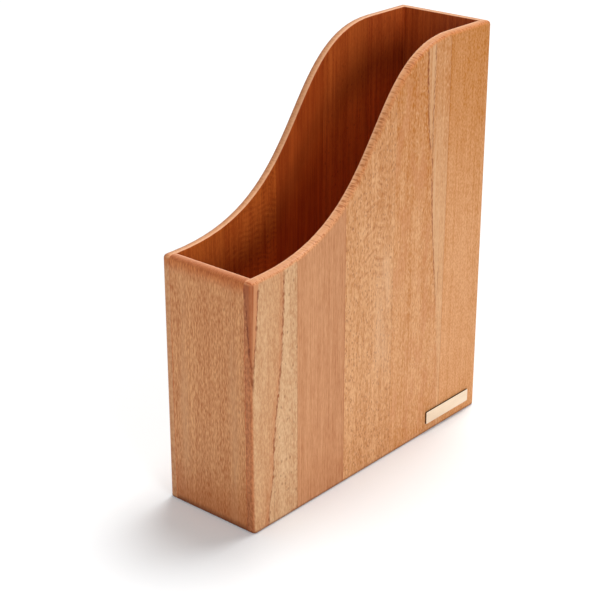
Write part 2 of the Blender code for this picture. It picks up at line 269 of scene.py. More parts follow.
# dashes that lie along the grain, each in its own cell of the wood
def dashes(sheet, grain, shift, gap, wide):
    distance, chance = sheet.cells(sheet.vector("ADD", grain, shift), gap)
    reach = chance * wide + woodRange["dashLeast"]
    return sheet.step(distance, reach, reach * woodRange["dashCore"])


# coordinates in which the grain wanders a little across the board
def wanderingGrain(sheet, board, shift):
    grain = sheet.vector("ADD", board, shift)
    drift = sheet.noise(grain, woodRange["warpSize"], 1.0, 1)
    drift = sheet.vector("SUBTRACT", drift, (0.5, 0.5, 0.5))
    drift = sheet.vector("MULTIPLY", drift, (woodRange["warp"], woodRange["warp"], 0.0))
    return sheet.vector("ADD", grain, drift)


# growth rings round the pith: late wood, and years that differ
def ringTone(sheet, grain, shift, look):
    pithPlace = (look["pith"][0] + shift[0], look["pith"][1] + shift[1], 0.0)
    spoke = sheet.vector("SUBTRACT", grain, pithPlace)
    spoke = sheet.vector("MULTIPLY", spoke, (1.0, 1.0, 0.0))
    ring = sheet.vector("LENGTH", spoke, output=1) / look["ringGap"]
    ring = ring + sheet.noise(grain, woodRange["ringSize"]) * woodRange["ringWobble"]
    season = ring.math("FRACT")
    late = season ** woodRange["lateCurve"] * sheet.step(season, *woodRange["lateEnd"])
    year = sheet.add("TexWhiteNoise", {"noise_dimensions": "1D"}, {"W": ring.math("FLOOR")}) - 0.5
    return late * look["ringTone"] + year * (look["ringTone"] * woodRange["yearShare"])


def beechMaterial(name, place, look):
    wood = woodRange
    sheet = Sheet(bpy.data.materials.new(name))
    board = sheet.placed(place)
    depth, across, along = sheet.parts(board)
    shift = tuple(look["seed"] * length for length in wood["seedShift"])
    grain = wanderingGrain(sheet, board, shift)

    # streaks along the grain, from broad to hair-fine
    band = sheet.noise(grain, wood["bandSize"]) - 0.5
    blotch = sheet.noise(grain, wood["blotchSize"], 1.0) - 0.5
    column = sheet.step(sheet.noise(grain, wood["columnSize"], 1.0), *wood["columnRange"]) - 0.5
    fibre = sheet.step(sheet.noise(grain, wood["fibreSize"]), *wood["fibreRange"]) - 0.5
    rain = sheet.step(sheet.noise(grain, look["rainSize"], 1.0), *wood["rainRange"]) - 0.5
    hair = sheet.noise(grain, wood["hairSize"]) - 0.5

    # rays: sheets that run through the board, seen as dashes on the face and as rungs on end grain
    tilt = abs(sheet.facing(look["lengthwise"]))
    slant = abs(sheet.facing(look["crosswise"]))
    end = sheet.step(tilt, *wood["endTilt"])
    edge = sheet.step(slant, *wood["edgeSlant"]) * (1.0 - end)
    onFace = 1.0 - edge
    crowd = sheet.step(sheet.noise(grain, wood["crowdSize"]), *wood["crowdRange"])
    crowd = sheet.atLeast(wood["crowdLeast"], crowd)
    fleck = dashes(sheet, grain, (0.0, 0.0, 0.0), look["fleckGap"], look["fleckWide"]) * crowd * onFace
    glint = dashes(sheet, grain, wood["glintShift"], look["fleckGap"], look["fleckWide"]) * onFace
    spot = dashes(sheet, grain, wood["spotShift"], wood["spotGap"], wood["spotWide"]) * onFace
    rung = sheet.step(sheet.noise(grain, wood["rungGap"], 1.0), *wood["rungRange"])
    rungDepth = sheet.step(depth / wall, *wood["rungDepth"])
    rung = rung * sheet.atLeast(wood["rungOuter"], rungDepth)
    rung = rung * sheet.atLeast(wood["rungLevel"], sheet.step(tilt, *wood["rungTilt"]))
    distance, chance = sheet.cells(grain, wood["poreGap"])
    pore = sheet.step(distance, *wood["poreReach"]) * sheet.step(chance, *wood["poreChance"])

    tone = band * look["bandTone"] + column * look["columnTone"] + fibre * look["fibreTone"]
    tone = tone + rain * look["rainTone"] + blotch * look["blotchTone"] + hair * wood["hairTone"]
    tone = tone + ringTone(sheet, grain, shift, look) + look["tone"]
    inner = sheet.step(wall - depth, *wood["skin"])
    pocketColumn, pocketFibre, pocketRain = wood["pocketTones"]
    tone = tone + inner * (column * pocketColumn + fibre * pocketFibre + rain * pocketRain)
    # painted shade: deeper towards the top and close to the foot
    tone = tone + sheet.step(along, *wood["topShadeReach"]) * look["topShadeTone"]
    tone = tone + sheet.step(along, *wood["footShadeReach"]) * look["footShadeTone"]
    colour = sheet.span(tone, look["pale"], look["deep"])
    colour = sheet.blend(glint * look["glintInk"], colour, wood["glint"])
    colour = sheet.blend(fleck * look["fleckInk"], colour, wood["fleck"])
    colour = sheet.blend(spot * look["spotInk"], colour, wood["fleck"])
    colour = sheet.blend(pore * wood["poreInk"], colour, wood["fleck"])
    if look["edge"]:
        edgeColour = sheet.span(tone, *look["edge"])
        edgeColour = sheet.tint(sheet.step(along, *wood["rimReach"]), edgeColour, wood["rimTint"])
        colour = sheet.blend(edge, colour, edgeColour)
    if look["marks"]:
        colour = look["marks"](sheet, colour, board, grain, edge)
    if look["seam"]:
        seam = sheet.step(look["seam"] - across, wood["seamWide"], 0.0) * look["seamInk"]
        colour = sheet.tint(seam, colour, wood["seamOil"])

    # end grain drinks more oil and shows the rays as rungs; a painted highlight pales it next to the pocket
    # and painted shade deepens its outer rounding
    endTone = sheet.step(depth / wall, *look["endFade"])
    endTone = endTone * (1.0 - sheet.step(along, *wood["endLow"]) * look["endBright"])
    endTone = endTone + rain * wood["endRain"] + hair * wood["endHair"]
    endColour = sheet.span(endTone, look["endPale"], look["endDeep"])
    endColour = sheet.tint(rung * look["rungInk"], endColour, wood["rungOil"])
    # painted highlight: the rim is painted pale next to the pocket
    lipHighlight = sheet.step(depth / wall, *wood["lipHighlightReach"]) * wood["lipHighlightInk"]
    endColour = sheet.blend(lipHighlight, endColour, wood["lipHighlight"])
    if look["edge"]:
        corner = sheet.step(across, *wood["cornerReach"]) * wood["cornerInk"]
        endColour = sheet.tint(corner, endColour, wood["rimTint"])
    colour = sheet.blend(end * wood["endInk"], colour, endColour)

    # painted shade in the pocket, and a painted contact shadow on the lower arris
    pocketShade = (*look["pocketShade"], 1.0)
    # the pocket's painted shade is lighter further below the rim
    if look["sweep"]:
        below = sheet.path(across, look["sweep"]) - along
        thin = sheet.step(below, *wood["pocketShadeReach"]) * wood["pocketShadeFade"]
        pocketShade = sheet.blend(thin, pocketShade, (*(level * wood["pocketShadeThin"] for level in look["pocketShade"]), 1.0))
    colour = sheet.tint(inner, colour, pocketShade)
    # painted contact shadow on the lower arris
    colour = sheet.tint(sheet.step(along, *look["arrisShadowReach"]) * look["arrisShadowInk"], colour, wood["arrisShadow"])

    rough = hair * wood["roughHair"] + pore * wood["roughPore"] + glint * wood["roughGlint"]
    rough = rough + end * wood["roughEnd"] + wood["roughness"]
    height = hair * wood["bumpHair"] + fibre * wood["bumpFibre"] + rain * wood["bumpRain"]
    height = height + pore * wood["bumpPore"] + fleck * wood["bumpFleck"] + end * rung * wood["bumpRung"]
    others = {**wood["shine"], "Coat Weight": end * wood["endCoat"]}
    return sheet.finish(colour, rough, height, wood["bumpStrength"], wood["bumpDepth"], others)


veinLook = {
    "ragSize": (1.6, 1.6, 3.0), "ragged": 2.0,    # mm, and widths that the line strays
    "breakSize": (2.5, 2.5, 4.5), "breakRange": (0.38, 0.62), "breakLeast": 0.3,
    "core": 0.15,                      # share of the width that is full
}


# a ragged dark line where the offset is nought, broken up along the grain
def vein(sheet, offset, width, grain):
    stray = (sheet.noise(grain, veinLook["ragSize"], 1.0) - 0.5) * (width * veinLook["ragged"])
    line = sheet.step(abs(offset + stray), width, width * veinLook["core"])
    kept = sheet.step(sheet.noise(grain, veinLook["breakSize"], 1.0), *veinLook["breakRange"])
    return line * sheet.atLeast(veinLook["breakLeast"], kept)


# paths are mm across and along, read off the long vein and the short one beside its foot
longVeinMarks = {
    "veinPath": ((31.7, 187.0), (30.0, 140.0), (27.8, 117.0), (25.4, 97.0), (23.0, 83.0),
                 (21.0, 63.0), (19.6, 37.0), (16.5, 20.0), (14.8, 3.0)),
    "veinWobble": 0.4, "veinWide": 1.4, "veinInk": 0.85,
    "vein": (0.46, 0.22, 0.08, 1.0),
    "strayPath": ((21.4, 52.0), (20.6, 4.0)),
    "strayWobble": 0.2, "strayWide": 0.9, "strayTop": (54.0, 44.0), "strayInk": 0.35,
    "knots": ((25.4, 97.0), (19.6, 37.0)),
    "knotLength": 0.7, "knotReach": (1.3, 0.4), "knotInk": 0.7,
    "amber": (0.92, 0.80, 0.71, 1.0),      # wood in front of the vein, reaches in mm from it
    "amberStart": (0.5, -0.8), "amberReach": (-24.0, -2.0), "amberLeast": 0.5,
    "blush": paint(198, 126, 82),
    "blushStart": (0.3, -0.5), "blushReach": (-6.0, -1.0),
    "blushSize": (3.0, 2.5, 12.0), "blushRange": (0.25, 0.70), "blushInk": 0.55,
    "spot": paint(150, 98, 58),            # dashes on the pale wood behind it
    "spotGap": (14.0, 3.2, 5.0), "spotShift": (5.0, 3.0, 9.0), "spotWide": 0.30,
    "spotStart": (0.8, 2.5), "spotInk": 0.60,
}


# one long vein leans across the face: amber wood in front of it, pale spotted wood behind
def longVein(sheet, colour, board, grain, onSide, wobble):
    marks = longVeinMarks
    _, across, along = sheet.parts(board)
    offset = across - sheet.path(along, marks["veinPath"]) + wobble * marks["veinWobble"]
    amber = sheet.atLeast(marks["amberLeast"], sheet.step(offset, *marks["amberReach"]))
    amber = amber * sheet.step(offset, *marks["amberStart"]) * onSide
    colour = sheet.tint(amber, colour, marks["amber"])
    blush = sheet.step(offset, *marks["blushStart"]) * sheet.step(offset, *marks["blushReach"])
    blush = blush * sheet.step(sheet.noise(grain, marks["blushSize"]), *marks["blushRange"])
    colour = sheet.blend(blush * marks["blushInk"], colour, marks["blush"])
    spots = dashes(sheet, grain, marks["spotShift"], marks["spotGap"], marks["spotWide"])
    spots = spots * sheet.step(offset, *marks["spotStart"]) * onSide
    colour = sheet.blend(spots * marks["spotInk"], colour, marks["spot"])
    lines = vein(sheet, offset, marks["veinWide"], grain) * marks["veinInk"]
    stray = across - sheet.path(along, marks["strayPath"]) + wobble * marks["strayWobble"]
    stray = vein(sheet, stray, marks["strayWide"], grain) * sheet.step(along, *marks["strayTop"])
    lines = lines + stray * marks["strayInk"]
    flat = sheet.vector("MULTIPLY", board, (0.0, 1.0, marks["knotLength"]))
    for knotAcross, knotAlong in marks["knots"]:
        middle = (0.0, knotAcross, knotAlong * marks["knotLength"])
        away = sheet.vector("DISTANCE", flat, middle, output=1)
        lines = lines + sheet.step(away, *marks["knotReach"]) * marks["knotInk"]
    return sheet.tint(lines * onSide, colour, marks["vein"])


heartMarks = {
    "foot": 105.0, "slope": 0.088,     # mm, mm across for each mm up
    "growth": 9.0,                     # mm above the foot, where it is in full colour
    "wobble": 0.9, "wobbleSize": (6.0, 5.0, 22.0),    # mm
    "front": paint(168, 93, 52), "frontStart": (0.3, -0.5), "frontInk": 0.75,
    "arris": paint(158, 82, 40), "arrisStart": (0.5, -0.8), "arrisInk": 0.95, "arrisShare": 0.36,
    "halo": paint(203, 134, 88), "haloStart": (0.5, -0.5), "haloInk": 0.85,
    "line": (0.36, 0.16, 0.04, 1.0), "lineWide": 1.2, "lineInk": 0.75, "lineTop": (184.0, 179.0),
}


# a wedge of heartwood at the corner, widest at the rim
def heartwoodCorner(sheet, colour, board, grain, edge):
    marks = heartMarks
    depth, across, along = sheet.parts(board)
    onSide = 1.0 - edge
    wobble = (sheet.noise(grain, marks["wobbleSize"]) - 0.5) * 2.0
    colour = longVein(sheet, colour, board, grain, onSide, wobble)
    reach = (along - marks["foot"]) * marks["slope"] + wobble * marks["wobble"]
    grown = sheet.step(along, marks["foot"], marks["foot"] + marks["growth"])
    halo = sheet.step(across - reach, *marks["haloStart"]) * onSide * grown
    front = sheet.step(depth - reach, *marks["frontStart"]) * edge * grown
    arris = sheet.step(across - reach * marks["arrisShare"], *marks["arrisStart"]) * onSide * grown
    colour = sheet.blend(halo * marks["haloInk"], colour, marks["halo"])
    colour = sheet.blend(front * marks["frontInk"], colour, marks["front"])
    colour = sheet.blend(arris * marks["arrisInk"], colour, marks["arris"])
    lines = vein(sheet, across - reach, marks["lineWide"], grain) * onSide
    lines = lines + vein(sheet, depth - reach, marks["lineWide"], grain) * edge
    lines = lines * grown * sheet.step(along, *marks["lineTop"]) * marks["lineInk"]
    return sheet.tint(lines, colour, marks["line"])


seamMarks = {
    "reach": (92.0, 96.0),             # mm across
    "wanderSize": (9.0, 9.0, 60.0),
    "red": paint(178, 102, 56), "ink": 0.25,
}


def reddenedSeam(sheet, colour, board, grain, edge):
    _, across, _ = sheet.parts(board)
    wander = sheet.noise(grain, seamMarks["wanderSize"]) * 2.0 - 1.0
    near = sheet.step(across + wander, *seamMarks["reach"])
    return sheet.blend(near * seamMarks["ink"], colour, seamMarks["red"])


rippleMarks = {
    "middle": (128.0, 172.0), "reach": (17.0, 62.0), "full": (0.5, 0.7),    # mm across and along, share of it
    "gap": 5.8, "peak": 0.55,          # mm from line to line, and mm of drop for each mm off the middle
    "wander": 2.4, "wanderSize": (20.0, 16.0, 24.0),
    "patchSize": (12.0, 6.0, 9.0), "patchRange": (0.38, 0.62),
    "layer": (6.0, 4.0),               # mm deep, where it fades in
    "line": (0.66, 0.47, 0.33, 1.0), "crest": (0.55, 0.95), "ink": 0.42,
    "trough": (0.35, 0.05), "shine": 0.20,
}
pocketMarks = {
    **rippleMarks, "middle": (80.0, 185.0), "reach": (40.0, 60.0), "layer": (4.0, 6.0),
    "gap": 4.0, "peak": 0.12, "ink": 0.45, "shine": 0.30,
}
fairMarks = {                          # paler wood beside the ripple's foot
    "middle": (139.0, 118.0), "reach": (13.0, 66.0), "full": (2.0, 20.0),    # mm across and along
    "patchSize": (12.0, 5.0, 60.0), "patchRange": (0.30, 0.65),
    "fair": paint(232, 189, 150), "ink": 0.42,
}


# broken waves that peak in the middle of the stave
def ripple(sheet, colour, board, grain, marks):
    depth, across, along = sheet.parts(board)
    wide = abs(across - marks["middle"][0])
    tall = abs(along - marks["middle"][1])
    wander = sheet.noise(grain, marks["wanderSize"], 1.0) * marks["wander"]
    wave = ((along + wide * marks["peak"]) / marks["gap"] + wander).math("FRACT")
    wave = abs(wave - 0.5) * 2.0
    inside = sheet.step(sheet.noise(grain, marks["patchSize"], 1.0), *marks["patchRange"])
    inside = inside * sheet.step(depth, *marks["layer"])
    for offset, reach, full in zip((wide, tall), marks["reach"], marks["full"]):
        inside = inside * sheet.step(offset, reach, reach * full)
    colour = sheet.tint(sheet.step(wave, *marks["crest"]) * inside * marks["ink"], colour, marks["line"])
    shine = sheet.step(wave, *marks["trough"]) * inside * marks["shine"]
    return sheet.blend(shine, colour, woodRange["glint"])


def rippleFigure(sheet, colour, board, grain, edge):
    _, across, along = sheet.parts(board)
    fair = sheet.step(sheet.noise(grain, fairMarks["patchSize"]), *fairMarks["patchRange"])
    limits = zip((across, along), fairMarks["middle"], fairMarks["reach"], fairMarks["full"])
    for place, middle, reach, full in limits:
        fair = fair * sheet.step(abs(place - middle), reach, full)
    colour = sheet.blend(fair * fairMarks["ink"], colour, fairMarks["fair"])
    return ripple(sheet, colour, board, grain, rippleMarks)


def pocketRipple(sheet, colour, board, grain, edge):
    return ripple(sheet, colour, board, grain, pocketMarks)


# paths are mm across and along, read off the two veins that border the pale wood and a stray one
paleBandMarks = {
    "shortPath": ((184.0, 308.0), (185.6, 270.0), (188.2, 240.0), (190.2, 228.0)),
    "shortFoot": (225.0, 234.0), "shortStart": (-0.4, 1.0), "shortWide": 1.5, "shortInk": 0.85,    # mm
    "longPath": ((193.0, 310.0), (192.6, 275.0), (192.2, 243.0), (192.9, 210.0), (195.0, 172.0),
                 (198.6, 140.0), (202.6, 105.0), (205.5, 70.0), (208.0, 10.0)),
    "longFoot": (96.0, 125.0), "longStart": (-0.6, 1.4), "longWide": 1.2, "longInk": 0.80,
    "strayPath": ((204.6, 136.0), (203.8, 112.0)),
    "strayMiddle": 124.0, "strayReach": (14.0, 9.0), "strayWide": 0.8, "strayInk": 0.5,
    "line": (0.46, 0.25, 0.11, 1.0),
    "wobble": 0.8, "wobbleSize": (6.0, 5.0, 30.0),
    "pale": paint(220, 174, 130), "paleInk": 0.34,
    "streakSize": (4.0, 1.5, 90.0), "streakRange": (0.38, 0.62), "streakInk": 0.40,
    "backFade": (200.0, 211.0), "backThin": 0.40,    # mm across, where the pale wood thins out
    "topFade": (215.0, 280.0), "topThin": 0.75,      # mm along
    "red": paint(198, 126, 78), "redSize": (30.0, 9.0, 34.0), "redRange": (0.48, 0.66), "redInk": 0.40,
}


def paleBand(sheet, colour, board, grain, edge):
    marks = paleBandMarks
    _, across, along = sheet.parts(board)
    wobble = (sheet.noise(grain, marks["wobbleSize"]) - 0.5) * marks["wobble"]
    long = across - sheet.path(along, marks["longPath"]) + wobble
    short = across - sheet.path(along, marks["shortPath"]) + wobble
    stray = across - sheet.path(along, marks["strayPath"])
    high = sheet.step(along, *marks["shortFoot"])
    beyond = sheet.step(long, *marks["longStart"])
    band = beyond.math("MAXIMUM", sheet.step(short, *marks["shortStart"]) * high)
    streak = sheet.step(sheet.noise(grain, marks["streakSize"], 1.0), *marks["streakRange"])
    streak = streak * marks["streakInk"] + marks["paleInk"]
    streak = streak * (1.0 - sheet.step(across, *marks["backFade"]) * marks["backThin"])
    streak = streak * (1.0 - beyond * sheet.step(along, *marks["topFade"]) * marks["topThin"])
    colour = sheet.blend(band * streak, colour, marks["pale"])
    red = sheet.step(sheet.noise(grain, marks["redSize"]), *marks["redRange"]) * (1.0 - band)
    colour = sheet.blend(red * marks["redInk"], colour, marks["red"])
    longLine = vein(sheet, long, marks["longWide"], grain) * sheet.step(along, *marks["longFoot"])
    shortLine = vein(sheet, short, marks["shortWide"], grain) * high
    strayLine = vein(sheet, stray, marks["strayWide"], grain)
    strayLine = strayLine * sheet.step(abs(along - marks["strayMiddle"]), *marks["strayReach"])
    lines = longLine * marks["longInk"] + shortLine * marks["shortInk"] + strayLine * marks["strayInk"]
    return sheet.tint(lines, colour, marks["line"])


frontMarks = {
    "bands": ((17.0, 7.0), (63.0, 8.0)),    # mm across, half width
    "tan": paint(214, 158, 112), "tanInk": 0.55,
    "patchSize": (30.0, 9.0, 90.0), "patchRange": (0.30, 0.65),
    "red": paint(200, 118, 66), "redReach": (42.0, 0.0), "redInk": 0.50,    # mm above the foot
}


def tanBands(sheet, colour, board, grain, edge):
    marks = frontMarks
    _, across, along = sheet.parts(board)
    patch = sheet.step(sheet.noise(grain, marks["patchSize"]), *marks["patchRange"]) * marks["tanInk"]
    for middle, half in marks["bands"]:
        colour = sheet.blend(sheet.step(abs(across - middle), half, 0.0) * patch, colour, marks["tan"])
    colour = sheet.blend(sheet.step(along, *marks["redReach"]) * marks["redInk"], colour, marks["red"])
    return sheet.tint(sheet.step(along, *woodRange["rimReach"]), colour, woodRange["rimTint"])


# where each wall's pattern starts: depth runs in from the outer face, then across, then along the grain
evenMm = (oneMm, oneMm, oneMm)
quarter = radians(90)
alongY = Matrix(((0, 1, 0), (0, 0, 1), (1, 0, 0))).to_euler()
frontLeft = (-sideHigh.x, frontLow.y, 0)
rightPlace = {"Location": (sideHigh.x, frontLow.y, 0), "Scale": (-oneMm, oneMm, oneMm)}
leftPlace = {"Location": frontLeft, "Scale": evenMm}
frontPlace = {"Location": frontLeft, "Rotation": (0, 0, quarter), "Scale": (oneMm, -oneMm, oneMm)}
backPlace = {"Location": (backLow.x, backHigh.y, 0), "Rotation": (0, 0, -quarter), "Scale": evenMm}
bottomPlace = {"Location": (frontLow.x, frontLow.y, 0), "Rotation": alongY, "Scale": evenMm}

# the side walls' rim as mm from the front and share of its rise
sweepStops = ((0.0, 0.0), (20.0, 0.004), (84.4, 0.156), (126.3, 0.5), (160.9, 0.844),
              (214.5, 1.0), (260.0, 1.0))
rimSweep = tuple((rimLow + (rimHigh - rimLow) * rise, across) for across, rise in sweepStops)
toBack = ((1, 1),)
toSides = ((0, 0), (0, 1))
allRound = ((0, 0), (0, 1), (1, 0), (1, 1))
rightRim = {
    "sweep": rimSweep, "endPale": paint(238, 173, 125), "endDeep": paint(213, 136, 82), "endBright": 0.65,
    "rungInk": 1.05,
}
leftRim = {                            # turned away from the light, with fainter rungs
    "sweep": rimSweep, "endDeep": paint(170, 104, 62), "rungInk": 0.30,
}
boards = {
    "right_side_stave_1": (rightPlace, {
        **rightRim, "seed": 1.0, "joints": toBack, "marks": heartwoodCorner,
        "pale": paint(217, 175, 132), "deep": paint(186, 128, 82), "tone": 0.22,
        "edge": (paint(200, 126, 79), paint(142, 73, 36)),
        "endPale": paint(230, 162, 116), "endDeep": paint(194, 118, 66),
        "rainTone": 0.58, "fleckInk": 0.25}),
    "right_side_stave_2": (rightPlace, {
        **rightRim, "seed": 2.0, "joints": toBack, "marks": reddenedSeam,
        "pale": paint(211, 153, 108), "deep": paint(180, 115, 70),
        "rainTone": 0.34, "rainSize": (1.8, 0.9, 5.0), "fibreTone": 0.38, "columnTone": 0.14,
        "ringTone": 0.10, "fleckInk": 0.08, "glintInk": 0.08}),
    "right_side_stave_3": (rightPlace, {
        **rightRim, "seed": 3.0, "joints": toBack, "seamInk": 0.25, "marks": rippleFigure,
        "pale": paint(225, 171, 122), "deep": paint(190, 124, 68), "topShadeTone": 0.30,
        "rainTone": 0.62, "spotInk": 0.50, "fleckInk": 0.52}),
    "right_side_stave_4": (rightPlace, {
        **rightRim, "seed": 4.0, "joints": toBack, "marks": paleBand,
        "pale": paint(226, 171, 122), "deep": paint(190, 119, 54), "topShadeTone": 0.40,
        "rainTone": 0.52}),
    "right_side_stave_5": (rightPlace, {
        **rightRim, "seed": 5.0,
        "pale": paint(229, 171, 122), "deep": paint(191, 120, 50), "topShadeTone": 0.44,
        "columnTone": 0.08, "fibreTone": 0.14, "blotchTone": 0.30, "rainTone": 0.45,
        "rainSize": (1.8, 0.95, 2.2), "fleckInk": 0.32, "fleckGap": (14.0, 1.4, 2.2), "glintInk": 0.25}),
    "left_side_stave_1": (leftPlace, {
        **leftRim, "seed": 6.0, "joints": toBack, "pocketShade": (0.80, 0.340, 0.100), "tone": 0.36,
        "edge": (paint(218, 160, 112), paint(186, 117, 70))}),
    "left_side_stave_2": (leftPlace, {
        **leftRim, "seed": 7.0, "joints": toBack, "pocketShade": (0.80, 0.355, 0.112), "marks": pocketRipple,
        "pale": paint(223, 166, 117), "deep": paint(189, 121, 72), "columnTone": 0.25}),
    "left_side_stave_3": (leftPlace, {
        **leftRim, "seed": 8.0, "joints": toBack, "pocketShade": (0.72, 0.272, 0.082),
        "pale": paint(211, 153, 108), "deep": paint(180, 115, 70), "rainTone": 0.32, "columnTone": 0.20,
        "ringTone": 0.10, "fleckInk": 0.10, "glintInk": 0.10}),
    "left_side_stave_4": (leftPlace, {
        **leftRim, "seed": 9.0, "joints": toBack, "pocketShade": (0.71, 0.270, 0.084), "tone": 0.32,
        "columnTone": 0.20, "spotInk": 0.36, "fleckInk": 0.48}),
    "left_side_stave_5": (leftPlace, {
        **leftRim, "seed": 10.0, "pocketShade": (0.73, 0.285, 0.100),
        "pale": paint(224, 167, 118), "deep": paint(190, 123, 76), "columnTone": 0.25}),
    "front_board": (frontPlace, {
        "seed": 11.0, "joints": toSides, "marks": tanBands, "crosswise": (1.0, 0.0, 0.0),
        "pale": paint(224, 161, 108), "deep": paint(190, 116, 66), "topShadeTone": 0.0, "footShadeTone": 0.20,
        "rainTone": 1.05, "rainSize": (1.8, 0.70, 4.0), "fibreTone": 0.36, "columnTone": 0.20,
        "blotchTone": 0.38, "fleckInk": 0.35, "glintInk": 0.25, "arrisShadowReach": (6.5, 0.5),
        "endPale": paint(220, 147, 103), "endDeep": paint(184, 106, 60), "endFade": (0.95, 0.25),
        "rungInk": 0.55}),
    "back_board": (backPlace, {
        "seed": 12.0, "joints": toSides, "crosswise": (1.0, 0.0, 0.0),
        "pale": paint(220, 164, 116), "deep": paint(188, 122, 76), "columnTone": 0.40}),
    "bottom_board": (bottomPlace, {
        "seed": 13.0, "joints": allRound, "lengthwise": (0.0, 1.0, 0.0), "crosswise": (1.0, 0.0, 0.0),
        "topShadeTone": 0.0, "footShadeTone": 0.0, "arrisShadowInk": 0.0}),
}


# smooth faces, with a sharp edge wherever two of them meet at more than the angle
def softShade(bm, angle):
    for face in bm.faces:
        face.smooth = True
    for edge in bm.edges:
        edge.smooth = edge.calc_face_angle(0.0) < radians(angle)


# the finished piece takes the place of its solid
def addPiece(name, bm, material, node):
    mesh = bpy.data.meshes.new(name)
    bm.to_mesh(mesh)
    bm.free()
    mesh.materials.append(material)
    piece = bpy.data.objects.new(name, mesh)
    bpy.context.scene.collection.objects.link(piece)
    even = piece.modifiers.new("even_normals", "WEIGHTED_NORMAL")
    even.keep_sharp = True
    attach(piece, "root")
    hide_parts(node)


# a copy of the board's own shape, welded so that its roundings shade smoothly
def dressBoard(node, place, changes):
    bm = bmesh.new()
    bm.from_mesh(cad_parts[node].data)
    bmesh.ops.remove_doubles(bm, verts=bm.verts, dist=woodRange["weld"])
    look = {**beechLook, **changes}
    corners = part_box(node)
    if look["joints"] == toBack:
        look["seam"] = (corners[1].y - frontLow.y) / oneMm
    for axis, end in look["joints"]:
        for vert in bm.verts:
            if abs(vert.co[axis] - corners[end][axis]) < nearby:
                vert.co[axis] += woodRange["glue"] * (2 * end - 1)
    softShade(bm, woodRange["sharpAngle"])
    addPiece(node + "_wood", bm, beechMaterial(node + "_beech", place, look), node)


for node, (place, changes) in boards.items():
    dressBoard(node, place, changes)
print("boards dressed:", len(boards))


# brushed metal plate, left bare
plateLook = {
    "face": paint(244, 227, 203),
    "streak": paint(224, 204, 177),
    "cut": paint(84, 60, 38), "cutTurn": (0.80, 0.40),    # painted shade and painted reflection: its edges are painted dark
    "brushSize": (0.5, 24.0, 0.07), "cloudSize": (6.0, 9.0, 5.0),    # mm
    "brushInk": 0.7, "cloudInk": 0.4,
    "roughness": 0.34, "roughBrush": 0.25, "roughCloud": 0.10, "roughCut": 0.2,
    "bumpStrength": 0.25, "bumpDepth": 0.00002,    # m
    "corner": 0.0006, "cornerSteps": 5,    # m
    "edge": 0.00018, "edgeSteps": 3,
    "sharpAngle": 40,                      # degrees
}


def plateMaterial():
    sheet = Sheet(bpy.data.materials.new("brushed_plate"))
    place = sheet.placed({"Scale": evenMm})
    brush = sheet.noise(place, plateLook["brushSize"], 3.0)
    cloud = sheet.noise(place, plateLook["cloudSize"])
    # painted shade and painted reflection on the plate's thin edges
    cut = sheet.step(sheet.facing((1.0, 0.0, 0.0)), *plateLook["cutTurn"])
    worn = brush * plateLook["brushInk"] + cloud * plateLook["cloudInk"]
    colour = sheet.blend(worn, plateLook["face"], plateLook["streak"])
    colour = sheet.blend(cut, colour, plateLook["cut"])
    rough = (brush - 0.5) * plateLook["roughBrush"] + (cloud - 0.5) * plateLook["roughCloud"]
    rough = rough + cut * plateLook["roughCut"] + plateLook["roughness"]
    strength, distance = plateLook["bumpStrength"], plateLook["bumpDepth"]
    return sheet.finish(colour, rough, brush, strength, distance, {"Metallic": 1.0})


def makePlate():
    low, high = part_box("label_plate")
    bm = bmesh.new()
    bmesh.ops.create_cube(bm, size=1.0)
    bmesh.ops.scale(bm, vec=high - low, verts=bm.verts)
    bmesh.ops.translate(bm, vec=(low + high) / 2, verts=bm.verts)
    corners = [edge for edge in bm.edges if abs(edge.verts[0].co.x - edge.verts[1].co.x) > nearby]
    bmesh.ops.bevel(bm, geom=corners, offset=plateLook["corner"], segments=plateLook["cornerSteps"],
                    affect="EDGES", profile=0.5, material=-1)
    rim = [edge for edge in bm.edges if all(abs(vert.co.x - high.x) < nearby for vert in edge.verts)]
    bmesh.ops.bevel(bm, geom=rim, offset=plateLook["edge"], segments=plateLook["edgeSteps"],
                    affect="EDGES", profile=0.5, material=-1)
    softShade(bm, plateLook["sharpAngle"])
    addPiece("plate_face", bm, plateMaterial(), "label_plate")


makePlate()
print("plate made")


# hidden pieces keep their own solids and get their real finish
dowelLook = {
    "pale": paint(228, 196, 156), "deep": paint(196, 156, 112),
    "fibreSize": (14.0, 0.5, 0.5),     # mm
    "poreGap": (3.0, 0.6, 0.6), "poreReach": (0.3, 0.1), "poreChance": (0.4, 0.7), "poreInk": 0.4,
    "roughness": 0.62, "roughFibre": 0.15,
    "bumpStrength": 0.4, "bumpDepth": 0.00005,    # m
}
filmLook = {
    "pale": paint(226, 222, 210), "deep": paint(200, 194, 178),
    "mottleSize": (1.2, 1.2, 1.2),     # mm
    "roughness": 0.32, "roughMottle": 0.2,
    "bumpStrength": 0.3, "bumpDepth": 0.00003,    # m
}


def dowelMaterial():
    sheet = Sheet(bpy.data.materials.new("raw_dowel"))
    place = sheet.placed({"Scale": evenMm})
    fibre = sheet.noise(place, dowelLook["fibreSize"], 3.0)
    distance, chance = sheet.cells(place, dowelLook["poreGap"])
    pore = sheet.step(distance, *dowelLook["poreReach"]) * sheet.step(chance, *dowelLook["poreChance"])
    colour = sheet.blend(fibre, dowelLook["pale"], dowelLook["deep"])
    colour = sheet.blend(pore * dowelLook["poreInk"], colour, woodRange["fleck"])
    rough = fibre * dowelLook["roughFibre"] + dowelLook["roughness"]
    return sheet.finish(colour, rough, fibre - pore, dowelLook["bumpStrength"], dowelLook["bumpDepth"])


